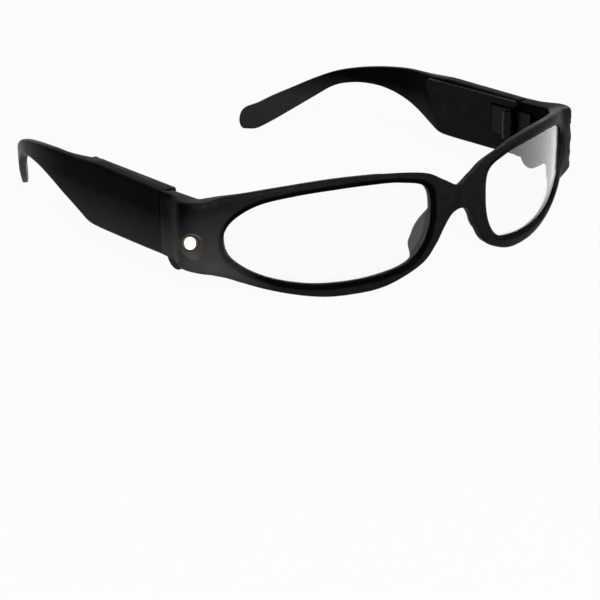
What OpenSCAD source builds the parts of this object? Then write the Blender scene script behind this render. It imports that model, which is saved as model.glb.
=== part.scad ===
// Safety glasses with a lamp in each endpiece and a battery pod in each temple.
// x is lateral with the wearer's left at +x, y runs back towards the ears, z is up.
// The glasses stand on the rim bottoms and the ear ends, at z = 0.

/* [Front] */
// Half of the overall width, over the endpieces
half_w = 72; // [70:0.5:76]
// Radius of the front's wrap, seen from above
wrap_r = 105; // [100:1:120]
// Radius of the front's bow, seen from the side
bow_r = 113; // [90:1:160]
// Radius of the corner between front and endpiece
corner_r = 8; // [7:0.5:10]
// Depth of the rims from front to back
rim_d = 3.7; // [3.5:0.1:5]
// Depth of the bridge from front to back
bridge_d = 4.2; // [3.8:0.1:6.5]
// Rounding of the frame's outer edges
edge_r = 0.9; // [0.5:0.1:1.2]
// How much the outline draws in from front to back
draft = 0.4; // [0:0.1:0.6]
// How much more it draws in over the nose
nose_draft = 0.7; // [0:0.1:1.4]
// How far the lamp housings stand out at the corners
housing = 2.4; // [1:0.1:2.8]
// How far the nose wings reach back behind the rims
wing_l = 4.5; // [3:0.5:9]
// How far the nose wings flare towards the lenses
wing_flare = 1.4; // [1:0.2:4.5]

/* [Lenses] */
// Thickness of the lenses
lens_t = 1.8; // [1.4:0.1:2.2]
// Depth of the bevel groove in the rims
groove_d = 1.1; // [0.8:0.1:1.4]
// Clearance between lens and rim
lens_gap = 0.15; // [0.1:0.01:0.3]

/* [Temples] */
// Length of the endpiece's straight side, from the corner to the temple
side_l = 11.9; // [11.5:0.1:14]
// Running gap between endpiece and temple
split_gap = 0.15; // [0.1:0.01:0.4]
// Length of the temples, from the endpiece to the ear ends
temple_l = 118; // [114:0.5:124]
// Wall from the outer to the inner face of pod and endpiece
pod_t = 5; // [4.8:0.1:5.6]
// Thickness of the arm behind the pod
arm_t = 3.2; // [3:0.1:4.4]
// Thickness of the arm at the ear end
tip_t = 1.9; // [1.8:0.1:3]
// Length of the temple's straight part, before it bows inwards
straight_l = 47; // [44:1:54]
// Radius of the arm's inward bow
arm_bow_r = 103; // [95:1:140]
// Angle to which the arm bows inwards
bow_max = 32.4; // [28:0.2:36]
// Rounding of the temple's edges
temple_r = 1.2; // [0.8:0.1:1.5]
// How far the pod's outer face bulges
pod_crown = 0.4; // [0:0.05:0.6]

/* [Hinges] */
// Radius of the hinge barrels
barrel_r = 2; // [1.8:0.1:2.2]
// Radius of the hinge screws
pin_r = 0.7; // [0.5:0.05:0.9]
// Running clearance of the hinge screws in their knuckles
pin_gap = 0.05; // [0.03:0.01:0.1]
// Height of the hinges
hinge_h = 9; // [8:0.2:10]
// Thickness of the hinge leaves
leaf_t = 0.9; // [0.7:0.05:1]

/* [Lamps] */
// Diameter of the lamps
lamp_dia = 3; // [2.8:0.1:3.2]
// Outward turn of the lamps from straight ahead
lamp_turn = 35; // [25:1:40]
// Outer radius of the lamp rings
ring_r = 2.2; // [2.1:0.05:2.4]

/* [Batteries] */
// Diameter of the coin cells
cell_dia = 16; // [15:0.1:16]
// Thickness of one coin cell
cell_t = 1.6; // [1.2:0.1:1.6]
// Thickness of the battery covers
cover_t = 1.2; // [1:0.1:1.4]

/* [Switches] */
// Length of the buttons
button_l = 8; // [7:0.5:8.5]
// How far the buttons stand below the endpieces
button_h = 3; // [2:0.2:3.4]
// Travel of the buttons
button_travel = 0.8; // [0.5:0.1:1]

/* [Hidden] */
PAIRED = ["lens", "front_hinge_leaf", "hinge_screw", "lamp", "lamp_ring", "lamp_board", "switch_body",
    "switch_button", "circuit_cover", "contact_pins", "temple", "temple_hinge_leaf", "battery_cover",
    "cover_screw", "outer_cell", "inner_cell", "positive_contact", "negative_contact"];
$fn = 48;
clear = 0.05;
over = 1;

// Rim and outline. Widths are measured across the front, heights from the ground.
// The lens opening, from its nasal top corner over the top to the ear side and back below.
ear_x = half_w - 6;
opening = [[11.9, 27.4], [20.5, 30.3], [30, 31], [39.5, 30.9], [ear_x - 17, 30.2], [ear_x - 8, 28.3], [ear_x - 2, 24],
    [ear_x, 18.6], [ear_x - 1.8, 13], [ear_x - 9, 7.8], [ear_x - 19, 4.7], [37, 3.8], [27, 4.3], [17.8, 6.4],
    [12.7, 11.6], [10.6, 19.2]];
bridge_top = 26;
bridge_bottom = 19;
end_top = 29.3;
end_bottom = 10.9;

// Plan of the front: an arc, then a tighter corner, then straight back to the split.
// A place on it is s, the length along the outer face from the middle, and d, the depth behind it.
mid_z = 20;
turn = asin((half_w - corner_r) / (wrap_r - corner_r));
corner_y = wrap_r - (wrap_r - corner_r) * cos(turn);
s_corner = wrap_r * turn * PI / 180;
s_side = s_corner + corner_r * (90 - turn) * PI / 180;
s_end = s_side + side_l;
split_y = corner_y + side_l;
depth = split_y + temple_l;
bow_y = split_y + straight_l;
function arc_s(x) = wrap_r * asin(x / wrap_r) * PI / 180;
function heading(s) = s < s_corner ? s / wrap_r * 180 / PI
    : min(90, turn + (s - s_corner) / corner_r * 180 / PI);
function plan(s) = let (h = heading(s))
    s < s_corner ? [wrap_r * sin(h), wrap_r * (1 - cos(h))]
    : s < s_side ? [half_w - corner_r + corner_r * sin(h), corner_y - corner_r * cos(h)]
    : [half_w, corner_y + s - s_side];
function bow(z) = bow_r - sqrt(pow(bow_r, 2) - pow(z - mid_z, 2));
function swell(s) = housing * smooth(s_corner - 6, s_corner + 1, s) * (1 - smooth(s_side - 1, s_side + 7, s));
function front(s, z, d) = let (h = heading(s), p = plan(s), e = d - swell(s) * (1 - smooth(0, rim_d, d)))
    [p.x - e * sin(h), p.y + (e + bow(z)) * cos(h), z];

function smooth(a, b, x) = let (t = max(0, min(1, (x - a) / (b - a)))) t * t * (3 - 2 * t);
function wall(s) = rim_d + (bridge_d - rim_d) * (1 - smooth(2, 14, s))
    + (pod_t - rim_d) * smooth(s_corner - 12, s_corner, s);
function cr(a, b, c, d, t) = 0.5 * (2 * b + (c - a) * t + (2 * a - 5 * b + 4 * c - d) * t * t
    + (3 * b - a - 3 * c + d) * t * t * t);
function unit(v) = v / norm(v);

// The opening as a closed curve in [s, z], u counting its points, and its outward normal.
function opening_at(u) = let (n = len(opening), i = floor(u), k = [for (j = [-1:2]) opening[(i + j + n) % n]],
    p = cr(k[0], k[1], k[2], k[3], u - i)) [arc_s(p.x), p.y];
function opening_out(u) = let (t = unit(opening_at(u + 0.05) - opening_at(u - 0.05))) [-t.y, t.x];

// The outline of one half in runs of [u, s, z], u saying which point of the opening faces it.
top_run = [[-0.25, 0, bridge_top], [0.3, 5.6, 28.5], [0.7, 11.5, 31.4], [1.4, 21.5, 33.1], [2.3, 33, 33.8],
    [3.4, 44, 33.7], [4.4, arc_s(ear_x - 10.5), 32.5], [5.1, arc_s(ear_x), 30.8], [5.45, s_corner, 30.1],
    [5.75, s_side, 29.6], [6.2, s_end, end_top]];
bottom_run = [[8, s_end, end_bottom], [8.25, s_side, 10.5], [8.5, s_corner, 9.8], [8.8, arc_s(ear_x), 8.3],
    [9.4, arc_s(ear_x - 10.5), 3.8], [10.1, arc_s(ear_x - 21), 0.8], [10.7, 37.5, -0.3], [11.3, 31, -0.3], [12.1, 22.5, 1],
    [13, 12.8, 5.2], [13.8, 8.4, 10.2], [14.5, 5.8, 14.6], [14.9, 3.2, 17.9], [15.2, 0, bridge_bottom]];
run_steps = 3;
flat_steps = 4;
function past(p, q) = p[1] == 0 ? [2 * p[0] - q[0], -q[1], q[2]] : 2 * p - q;
function run(c) = [for (i = [0:len(c) - 2], k = [0:run_steps - 1])
    cr(i > 0 ? c[i - 1] : past(c[0], c[1]), c[i], c[i + 1],
        i < len(c) - 2 ? c[i + 2] : past(c[i + 1], c[i]), k / run_steps)];
// Each sample gets the point that lies edge_r inside the outline, where the rounding starts.
function with_inset(p, last, way) = [for (j = [0:len(p) - 1])
    let (a = p[max(0, j - 1)], b = j < len(p) - 1 ? p[j + 1] : last,
        t = j == 0 ? [way, 0] : unit([b[1] - a[1], b[2] - a[2]]))
    concat(p[j], [p[j][1] + edge_r * t.y, p[j][2] - edge_r * t.x])];
function flat_run(u0, u1, s, z0, z1) = let (e = edge_r * sign(z0 - z1))
    [for (k = [0:flat_steps - 1]) let (t = k / flat_steps)
        [u0 + (u1 - u0) * t, s, z0 + (z1 - z0) * t, s, z0 - e + (z1 - z0 + 2 * e) * t]];
top_samples = with_inset(run(top_run), top_run[len(top_run) - 1], 1);
end_samples = flat_run(6.2, 8, s_end, end_top, end_bottom);
bottom_samples = with_inset(run(bottom_run), bottom_run[len(bottom_run) - 1], -1);
bridge_samples = flat_run(15.2, 15.75, 0, bridge_bottom, bridge_top);
samples = concat(top_samples, end_samples, bottom_samples, bridge_samples);

// The frame's section at one sample, from the lens groove over the front to the back.
lens_d = rim_d / 2;
groove_h = lens_t / 2 + lens_gap;
lip = 0.5;
edge_d = 0.12;
shares = [0.24, 0.38, 0.52];
function wing(u) = let (v = u < 4 ? u + 16 : u) smooth(13, 14, v) * (1 - smooth(14.3, 15.6, v));
function mix(a, b, t) = a * (1 - t) + b * t;
function drawn_in(e) = draft + nose_draft * (1 - smooth(16, 28, e[0])) * smooth(bridge_bottom + 2, bridge_top, e[1]);
function section(e) = let (u = e[0], p = opening_at(u), n = opening_out(u), q = p + lip * n,
    edge = [e[1], e[2]], inset = [e[3], e[4]], w = wing(u), drawn = (edge - inset) * drawn_in(edge) / edge_r, db = wall(q.x), de = wall(e[1]),
    back = [for (k = [2:-1:0]) let (f = shares[k]) concat(mix(q, inset - drawn, f), [mix(db, de, f)])],
    root = concat(p + 3 * n, [db]), flare = [wing_flare, 0],
    tip_out = concat(p + 2 * n + flare, [db + wing_l]),
    tip_in = concat(p + 0.5 * n + flare, [db + wing_l - 0.3]))
    [for (k = concat(
        [concat(p, [lip]), concat(q, [0])],
        [for (f = shares) concat(mix(q, inset, f), [0])],
        [concat(inset, [edge_d]), concat(edge, [edge_r]), concat(edge - drawn, [de - edge_r]),
            concat(inset - drawn, [de])],
        [mix(back[0], root, w), mix(back[1], tip_out, w), mix(back[2], tip_in, w)],
        [mix(concat(q, [db]), concat(p + 0.1 * n, [db]), w), concat(p, [db - lip])],
        [concat(p, [lens_d + groove_h]), concat(p + groove_d * n, [lens_d]), concat(p, [lens_d - groove_h])]))
        front(k[0], k[1], k[2])];

// Faces between rings of m points: closed round each ring, and round the rings where loop is true.
function ring_faces(rings, m, loop, skip = [], first = 0) =
    [for (i = [0:rings - (loop ? 1 : 2)], k = [0:m - 1])
        let (a = first + i * m, b = first + (i + 1) % rings * m, c = (k + 1) % m)
        if (len(search(i, skip)) == 0 || k < 5 || k > 7) each [[a + k, a + c, b + k], [a + c, b + c, b + k]]];
function flip(f) = [for (t = f) [t[2], t[1], t[0]]];
function flat_list(v) = [for (a = v) each a];

module frame_body() {
    rings = [for (e = samples) section(e)];
    m = len(rings[0]);
    pts = flat_list(rings);
    first_bridge = len(samples) - flat_steps;
    skip = [for (i = [first_bridge:len(samples) - 1]) i];
    f = ring_faces(len(rings), m, true, skip);
    polyhedron(points = concat(pts, [for (p = pts) [0 - p.x, p.y, p.z]]),
        faces = concat(f, [for (t = flip(f)) [t[0] + len(pts), t[1] + len(pts), t[2] + len(pts)]]));
}

// A closed solid through rings of points, with each end closed by a fan round its middle.
module loft(rings) {
    m = len(rings[0]);
    n = len(rings);
    function middle(r) = [for (i = [0:2]) [for (p = r) p[i]] * [for (p = r) 1] / m];
    polyhedron(points = concat(flat_list(rings), [middle(rings[0]), middle(rings[n - 1])]),
        faces = concat(flip(ring_faces(n, m, false)),
            [for (k = [0:m - 1]) [k, (k + 1) % m, n * m]],
            [for (k = [0:m - 1]) [(n - 1) * m + (k + 1) % m, (n - 1) * m + k, n * m + 1]]));
}

lens_middle = [arc_s((ear_x + 11) / 2), 18];
lens_rings = [0.12, 0.45, 0.75, 1];
module lens_body() {
    function ring(f, r, d) = [for (e = samples) let (p = opening_at(e[0]), q = mix(lens_middle, p, f)
        + r * opening_out(e[0])) front(q.x, q.y, d)];
    loft(concat([for (f = lens_rings) ring(f, 0, lens_d - lens_t / 2)], [ring(1, groove_d - 0.2, lens_d)],
        [for (k = [len(lens_rings) - 1:-1:0]) ring(lens_rings[k], 0, lens_d + lens_t / 2)]));
}

// Places shared by the endpiece, the temple and what they hold, on the left side.
inner_x = half_w - pod_t;
hinge_x = inner_x - clear - barrel_r;
hinge_y = split_y + barrel_r;
hinge_z = 17;
knuckle_h = hinge_h / 3;
knuckle_gap = 0.1;
plate_l = 6.4;
stud_r = 0.7;
stud_l = 2.2;
stud_dz = 2.8;
hinge_mid = hinge_z + hinge_h / 2;
temple_y = split_y + split_gap;
module box(x, y, z) translate([x[0], y[0], z[0]]) cube([x[1] - x[0], y[1] - y[0], z[1] - z[0]]);
module along_x(x0, x1, y, z, r) translate([x0, y, z]) rotate([0, 90, 0]) cylinder(h = x1 - x0, r = r);
module along_y(y0, y1, x, z, r) translate([x, y0, z]) rotate([-90, 0, 0]) cylinder(h = y1 - y0, r = r);
module plate_x(x0, t) translate([x0, 0, 0]) rotate([90, 0, 90]) linear_extrude(t) children();
module rounded(y, z, r) hull() for (a = [y[0] + r, y[1] - r], b = [z[0] + r, z[1] - r]) translate([a, b]) circle(r);

// The lamp sits where the corner turns into the endpiece's side and looks outwards by lamp_turn.
lamp_s = s_side - 1.9;
lamp_z = 17.9;
lamp_r = lamp_dia / 2;
lamp_l = 4.2;
ring_back = 2.6;
ring_front = -1.2;
lamp_front = -0.6;
module at_lamp() {
    p = plan(lamp_s);
    translate([p.x, p.y, lamp_z]) rotate([90, 0, lamp_turn]) translate([0, 0, housing - 1.4]) children();
}

// The cavity for switch and board, closed by the circuit cover, and the button's slot below it.
bay_y = [split_y - 11, split_y - 1];
bay_z = [11.9, 16.6];
bay_x = inner_x + 3.4;
button_y = split_y - 5.2;
button_x = inner_x + 2.35;
button_w = 2.8;
button_gap = 0.2;
stem_top = bay_z[0] + 0.7;
switch_z = stem_top + button_travel + clear;
pin_x = inner_x + 2.2;
contact_r = 0.5;
contact_z = [14.15, 15.85];

module front_frame() color("#1c1c1e") difference() {
    frame_body();
    translate([-half_w, 0, -over]) cube([2 * half_w, split_y, over]);
    for (m = [0, 1]) mirror([m, 0, 0]) endpiece_cuts();
}
module endpiece_cuts() {
    at_lamp() {
        translate([0, 0, -ring_back]) cylinder(h = ring_back + 5, r = ring_r + clear);
        translate([0, 0, ring_front]) cylinder(h = 5, r1 = ring_r + clear, r2 = ring_r + 3);
        translate([0, 0, -lamp_l - clear]) cylinder(h = lamp_l, r = lamp_r + clear);
        translate([0, 0, -lamp_l - clear]) cylinder(h = 1, r = lamp_r + 0.4);
    }
    box([inner_x - over, bay_x], bay_y, bay_z);
    box([button_x - button_w / 2 - button_gap, button_x + button_w / 2 + button_gap],
        [button_y - button_l / 2 - button_gap, button_y + button_l / 2 + button_gap], [0, bay_z[0] + over]);
    for (z = contact_z) along_y(bay_y[1] - over, split_y + over, pin_x, z, contact_r + clear);
    for (z = [-stud_dz, stud_dz])
        along_x(inner_x - over, inner_x + stud_l + 0.2, split_y - 3.2, hinge_mid + z, stud_r + clear);
}
module lens() color("#dfe6ea", 0.4) lens_body();

// A hinge leaf: a plate on the inner face with two studs, and the knuckles that it carries.
module leaf(y, knuckles, stud_y) difference() {
    union() {
        box([inner_x - clear - leaf_t, inner_x - clear], y, [hinge_z, hinge_z + hinge_h]);
        for (z = [-stud_dz, stud_dz])
            along_x(inner_x - clear - leaf_t / 2, inner_x + stud_l, stud_y, hinge_mid + z, stud_r);
        for (k = knuckles) translate([0, 0, hinge_z + k * knuckle_h + knuckle_gap / 2]) {
            translate([hinge_x, hinge_y, 0]) cylinder(h = knuckle_h - knuckle_gap, r = barrel_r);
            box([inner_x - clear - leaf_t, inner_x - clear], [min(y[0], hinge_y), max(y[1], hinge_y)],
                [0, knuckle_h - knuckle_gap]);
        }
    }
    translate([hinge_x, hinge_y, 0]) cylinder(h = 2 * hinge_mid, r = pin_r + pin_gap);
}
module front_hinge_leaf() color("#3c3d40") leaf([split_y - plate_l, split_y], [0, 2], split_y - 3.2);
module temple_hinge_leaf() color("#3c3d40")
    leaf([hinge_y + barrel_r + 0.3, hinge_y + barrel_r + 0.3 + plate_l], [1], temple_leaf_y);
temple_leaf_y = hinge_y + barrel_r + 3.5;
module hinge_screw() color("#4a4b4e") difference() {
    union() {
        translate([hinge_x, hinge_y, hinge_z]) cylinder(h = hinge_h, r = pin_r);
        translate([hinge_x, hinge_y, hinge_z + hinge_h]) cylinder(h = 0.7, r = pin_r + 0.7);
    }
    translate([hinge_x, hinge_y, hinge_z + hinge_h + 0.7]) cube([2 * barrel_r, 0.35, 0.6], center = true);
}
module lamp() color("#fff6df") at_lamp() {
    translate([0, 0, -lamp_l]) cylinder(h = lamp_l + lamp_front, r = lamp_r);
    translate([0, 0, -lamp_l]) cylinder(h = 0.8, r = lamp_r + 0.3);
    translate([0, 0, lamp_front]) intersection() {
        sphere(lamp_r);
        cylinder(h = lamp_r, r = lamp_r);
    }
}
module lamp_ring() color("#77797c") at_lamp() difference() {
    translate([0, 0, -ring_back + clear]) cylinder(h = ring_back + ring_front - clear, r = ring_r);
    translate([0, 0, -ring_back]) cylinder(h = ring_back + over, r = lamp_r + clear);
    translate([0, 0, ring_front - 0.5]) cylinder(h = 0.51, r1 = lamp_r + clear, r2 = ring_r - 0.15);
}
module lamp_board() {
    color("#2d6a45") box([bay_x - 1, bay_x - 0.2], [bay_y[0] + 0.2, bay_y[0] + 1.9], [switch_z, lamp_z - 2.2]);
    color("#1b1b1b") box([bay_x - 1.5, bay_x - 1], [bay_y[0] + 0.5, bay_y[0] + 1.6],
        [switch_z + 0.3, lamp_z - 2.5]);
}
module switch_body() color("#303236") box([inner_x + 0.3, bay_x - 0.3], [button_y - 2.6, button_y + 2.6],
    [switch_z, bay_z[1] - 0.1]);
module switch_button() color("#26272a") {
    r = (pow(button_l / 2, 2) + pow(button_h, 2)) / 2 / button_h;
    low = end_bottom - button_h;
    intersection() {
        along_x(button_x - button_w / 2, button_x + button_w / 2, button_y, low + r, r);
        box([button_x - button_w, button_x + button_w], [button_y - button_l / 2, button_y + button_l / 2],
            [low - over, bay_z[0] + 0.1]);
    }
    box([button_x - button_w / 2, button_x + button_w / 2 - 0.5],
        [button_y - button_l / 2 - 0.5, button_y + button_l / 2 + 0.1], [bay_z[0] + clear, stem_top]);
}
module circuit_cover() color("#202124") plate_x(inner_x - clear - 0.8, 0.8)
    rounded([bay_y[0] - 0.4, bay_y[1] + 0.7], [bay_z[0] - 0.5, hinge_z - 0.2], 0.6);
module contact_pins() color("#c8a24a") for (z = contact_z) {
    along_y(bay_y[1] - 0.9, bay_y[1] - clear, pin_x, z, contact_r + 0.2);
    along_y(bay_y[1] - clear, split_y + 0.1, pin_x, z, contact_r);
}

// Side view of the temple: stations of [y, top, bottom], the pod's from its front end and the arm's from the ear end.
pod_stations = [[temple_y, end_top, end_bottom], [temple_y + 10, 29.5, 10.7], [temple_y + 22, 29.7, 10.6],
    [temple_y + 32, 29.9, 10.6], [temple_y + 36.6, 29.7, 11], [temple_y + 40.1, 29.5, 12.4],
    [temple_y + 44.2, 29.3, 14.2], [temple_y + 49.2, 29.2, 16.3]];
arm_stations = [[depth - 62.6, 29.1, 18.7], [depth - 55.5, 28.5, 20.6], [depth - 48.4, 27.6, 21.4],
    [depth - 40.2, 26.1, 21], [depth - 32.1, 23.9, 18.8], [depth - 24, 20.3, 13.5], [depth - 16.8, 16.4, 8.3],
    [depth - 10.7, 13, 3.8], [depth - 5.6, 9.8, 0.5]];
stations = concat(pod_stations, arm_stations);
tip_end = [[depth - 2.6, 8.4, 0], [depth - 1.1, 7.2, 0], [depth - 0.3, 5.6, 0.9], [depth, 4.2, 2.2]];
station_steps = 2;
path = concat([for (i = [0:len(stations) - 1], k = [0:station_steps - 1])
    let (a = stations[max(0, i - 1)], b = stations[i], c = i < len(stations) - 1 ? stations[i + 1] : tip_end[0],
        d = i < len(stations) - 2 ? stations[i + 2] : tip_end[i - len(stations) + 2])
    cr(a, b, c, d, k / station_steps)], tip_end);
bow_end = bow_y + arm_bow_r * sin(bow_max);
function bow_angle(y) = y < bow_y ? 0 : y > bow_end ? bow_max : asin((y - bow_y) / arm_bow_r);
function bow_in(y) = arm_bow_r * (1 - cos(bow_angle(y))) + max(0, y - bow_end) * tan(bow_max);
function temple_thick(y) = mix(pod_t, arm_t, smooth(bow_y - 12, bow_y + 6, y))
    - (arm_t - tip_t) * smooth(depth - 50, depth, y);
function temple_point(y, d, z) = let (h = bow_angle(y)) [half_w - bow_in(y) - d * cos(h), y - d * sin(h), z];
function crown(y, h) = pod_crown * smooth(temple_y, temple_y + 12, y) * min(1, pow(h / (end_top - end_bottom), 2));
function temple_ring(p) = let (t = temple_thick(p[0]), h = p[1] - p[2], r = min(temple_r, 0.32 * t, 0.35 * h))
    concat([for (q = [[0, 0], [1, 0], [1, 1], [0, 1]], k = [0:2])
        let (a = 180 + 90 * (q[0] + q[1] * (q[0] == 1 ? 1 : 3)) + 45 * k)
        temple_point(p[0], (q[0] == 1 ? t - r : r) + r * cos(a), (q[1] == 1 ? p[1] - r : p[2] + r) + r * sin(a))],
        [for (k = [3:-1:1]) let (f = k / 4)
            temple_point(p[0], -4 * f * (1 - f) * crown(p[0], h), mix(p[2] + r, p[1] - r, f))]);

// The battery well and the slots of the two contacts, all open to the inner face under the cover.
cell_gap = 0.25;
contact_t = 0.2;
cell_x = inner_x + contact_t + 2 * clear;
well_x = cell_x + 2 * cell_t + contact_t + 2 * clear;
well_y = split_y + 21;
well_z = 20.05;
slot_h = 0.75;
strip_h = 0.6;
screw_y = well_y + cell_dia / 2 + 3.6;
cover_r = 1.5;
hinge_back = hinge_y + barrel_r + plate_l + 0.5;
module temple() color("#1c1c1e") difference() {
    loft([for (p = path) temple_ring(p)]);
    along_x(inner_x - over, well_x, well_y, well_z, cell_dia / 2 + cell_gap);
    for (z = contact_z) box([inner_x - over, well_x], [temple_y - over, well_y], [z - slot_h, z + slot_h]);
    along_x(inner_x - over, inner_x + 3.4, screw_y, well_z, 0.7 + clear);
    for (z = [-stud_dz, stud_dz])
        along_x(inner_x - over, inner_x + stud_l + 0.2, temple_leaf_y, hinge_mid + z, stud_r + clear);
}
cover_back = temple_y + 41.4;
module battery_cover() color("#202124") difference() {
    plate_x(inner_x - clear - cover_t, cover_t) {
        hull() for (p = [[hinge_back, end_bottom + 1], [hinge_back, end_top - 1.3 - 2 * cover_r],
            [cover_back - 6.4 - 2 * cover_r, end_bottom + 1], [cover_back - 2 * cover_r, end_top - 0.3 - 2 * cover_r]])
            translate([p.x + cover_r, p.y + cover_r]) circle(cover_r);
        rounded([temple_y + 0.2, well_y], [end_bottom + 1, hinge_z - 0.2], 0.6);
        rounded([temple_y + 0.2, cover_back - 4], [hinge_z + hinge_h + 0.9, end_top - 0.3], 0.6);
    }
    along_x(inner_x - 2 * cover_t, inner_x, screw_y, well_z, 0.7 + clear);
    along_x(inner_x - 2 * cover_t, inner_x - clear - cover_t / 2, screw_y, well_z, 1.5 + clear);
}
module cover_screw() color("#4a4b4e") difference() {
    union() {
        along_x(inner_x - cover_t + 0.2, inner_x + 3, screw_y, well_z, 0.7);
        along_x(inner_x - cover_t, inner_x - clear - cover_t / 2 - 0.02, screw_y, well_z, 1.5);
    }
    for (a = [0, 90]) translate([inner_x - cover_t, screw_y, well_z]) rotate([a, 0, 0])
        cube([0.5, 2, 0.4], center = true);
}
module cell(x) color("#c9cbce") {
    along_x(x, x + 0.2, well_y, well_z, cell_dia / 2 - 1);
    along_x(x + 0.2, x + cell_t, well_y, well_z, cell_dia / 2);
}
module outer_cell() translate([2 * cell_x + 3 * cell_t, 0, 0]) mirror([1, 0, 0]) cell(cell_x + cell_t);
module inner_cell() translate([2 * cell_x + cell_t, 0, 0]) mirror([1, 0, 0]) cell(cell_x);
// A contact: a disc on the cell, a strip forward in its slot and a pad behind the temple's front face.
module contact(x, z) color("#c8a24a") {
    along_x(x, x + contact_t, well_y, well_z, 4);
    box([x, x + contact_t], [well_y - 5, well_y - 3.2], [z - strip_h, well_z]);
    box([x, x + contact_t], [temple_y + 0.1, well_y - 3.2], [z - strip_h, z + strip_h]);
    box([min(x, pin_x - 1.2), max(x + contact_t, pin_x + 1.2)], [temple_y + 0.1, temple_y + 0.1 + contact_t],
        [z - strip_h, z + strip_h]);
}
module positive_contact() contact(inner_x + clear, contact_z[0]);
module negative_contact() contact(cell_x + 2 * cell_t + clear, contact_z[1]);

module place(s) translate([0, -(depth + edge_d) / 2, 0]) mirror([s == "_right" ? 1 : 0, 0, 0]) children();
place("") front_frame();
place("_left") lens();  // lens_left
place("_right") lens();  // lens_right
place("_left") front_hinge_leaf();  // front_hinge_leaf_left
place("_right") front_hinge_leaf();  // front_hinge_leaf_right
place("_left") hinge_screw();  // hinge_screw_left
place("_right") hinge_screw();  // hinge_screw_right
place("_left") lamp();  // lamp_left
place("_right") lamp();  // lamp_right
place("_left") lamp_ring();  // lamp_ring_left
place("_right") lamp_ring();  // lamp_ring_right
place("_left") lamp_board();  // lamp_board_left
place("_right") lamp_board();  // lamp_board_right
place("_left") switch_body();  // switch_body_left
place("_right") switch_body();  // switch_body_right
place("_left") switch_button();  // switch_button_left
place("_right") switch_button();  // switch_button_right
place("_left") circuit_cover();  // circuit_cover_left
place("_right") circuit_cover();  // circuit_cover_right
place("_left") contact_pins();  // contact_pins_left
place("_right") contact_pins();  // contact_pins_right
place("_left") temple();  // temple_left
place("_right") temple();  // temple_right
place("_left") temple_hinge_leaf();  // temple_hinge_leaf_left
place("_right") temple_hinge_leaf();  // temple_hinge_leaf_right
place("_left") battery_cover();  // battery_cover_left
place("_right") battery_cover();  // battery_cover_right
place("_left") cover_screw();  // cover_screw_left
place("_right") cover_screw();  // cover_screw_right
place("_left") outer_cell();  // outer_cell_left
place("_right") outer_cell();  // outer_cell_right
place("_left") inner_cell();  // inner_cell_left
place("_right") inner_cell();  // inner_cell_right
place("_left") positive_contact();  // positive_contact_left
place("_right") positive_contact();  // positive_contact_right
place("_left") negative_contact();  // negative_contact_left
place("_right") negative_contact();  // negative_contact_right
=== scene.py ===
import bpy
import bmesh
import math
from mathutils import Matrix, Vector
from mathutils.kdtree import KDTree


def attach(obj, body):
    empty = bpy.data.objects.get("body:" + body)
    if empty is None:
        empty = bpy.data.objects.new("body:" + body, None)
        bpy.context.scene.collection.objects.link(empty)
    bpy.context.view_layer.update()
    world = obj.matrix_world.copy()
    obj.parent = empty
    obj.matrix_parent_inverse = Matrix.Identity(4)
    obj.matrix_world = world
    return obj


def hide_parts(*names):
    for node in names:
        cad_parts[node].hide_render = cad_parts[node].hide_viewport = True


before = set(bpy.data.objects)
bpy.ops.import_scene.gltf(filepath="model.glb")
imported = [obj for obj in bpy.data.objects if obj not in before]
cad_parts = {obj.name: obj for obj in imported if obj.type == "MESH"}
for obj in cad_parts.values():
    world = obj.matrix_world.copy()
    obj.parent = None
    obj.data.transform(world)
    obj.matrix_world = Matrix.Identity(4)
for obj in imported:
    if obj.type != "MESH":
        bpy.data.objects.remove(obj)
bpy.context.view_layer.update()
scene = bpy.context.scene
MM = 0.001
SIDES = (("left", 1), ("right", -1))

# ---------------------------------------------------------------- sizes of the part, in mm
# x is lateral with the wearer's left at +x, y runs back towards the ears, z is up.
# Plan of the front: half width, radii of the wrap, the side bow and the corner, side length
half_w, wrap_r, bow_r, corner_r, side_l = 72.0, 105.0, 113.0, 8.0, 11.9
# Rims: depth, depth at the bridge, edge rounding, draft, further draft over the nose
rim_d, bridge_d, edge_r, draft, nose_draft = 3.7, 4.2, 0.9, 0.4, 0.7
bridge_top, bridge_bottom, end_top, end_bottom = 26.0, 19.0, 29.3, 10.9
# Middle height of the side bow, width of the lip at the lens, and where the front edge lies
mid_z, lip, edge_d = 20.0, 0.5, 0.12
# Nose wings: length and flare. Lenses: thickness, depth of the groove and room beside them
wing_l, wing_flare = 4.5, 1.4
lens_t, groove_d, lens_gap = 1.8, 1.1, 0.15
# Temples: gap to the endpiece, length, straight length, thickness of pod, arm and ear end
split_gap, temple_l, straight_l, pod_t, arm_t, tip_t = 0.15, 118.0, 47.0, 5.0, 3.2, 1.9
arm_bow_r, bow_max, temple_r, pod_crown = 103.0, 32.4, 1.2, 0.4
# Lamps: swell of the housing, outward turn, height, then the sizes along the lamp's axis
housing, lamp_turn, lamp_z, lamp_r, lamp_l, lamp_front = 2.4, 35.0, 17.9, 1.5, 4.2, -0.6
ring_r, ring_front, ring_back = 2.2, -1.2, 2.6
lamp_before_side, lamp_sink = 1.9, 1.4
# Hinges: middle height, barrel, and the studs of the leaves with their holes
hinge_mid, barrel_r, stud_dz, stud_l, stud_r, stud_room = 21.5, 2.0, 2.8, 2.2, 0.7, 0.2
front_stud, temple_stud = 3.2, 3.5
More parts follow.
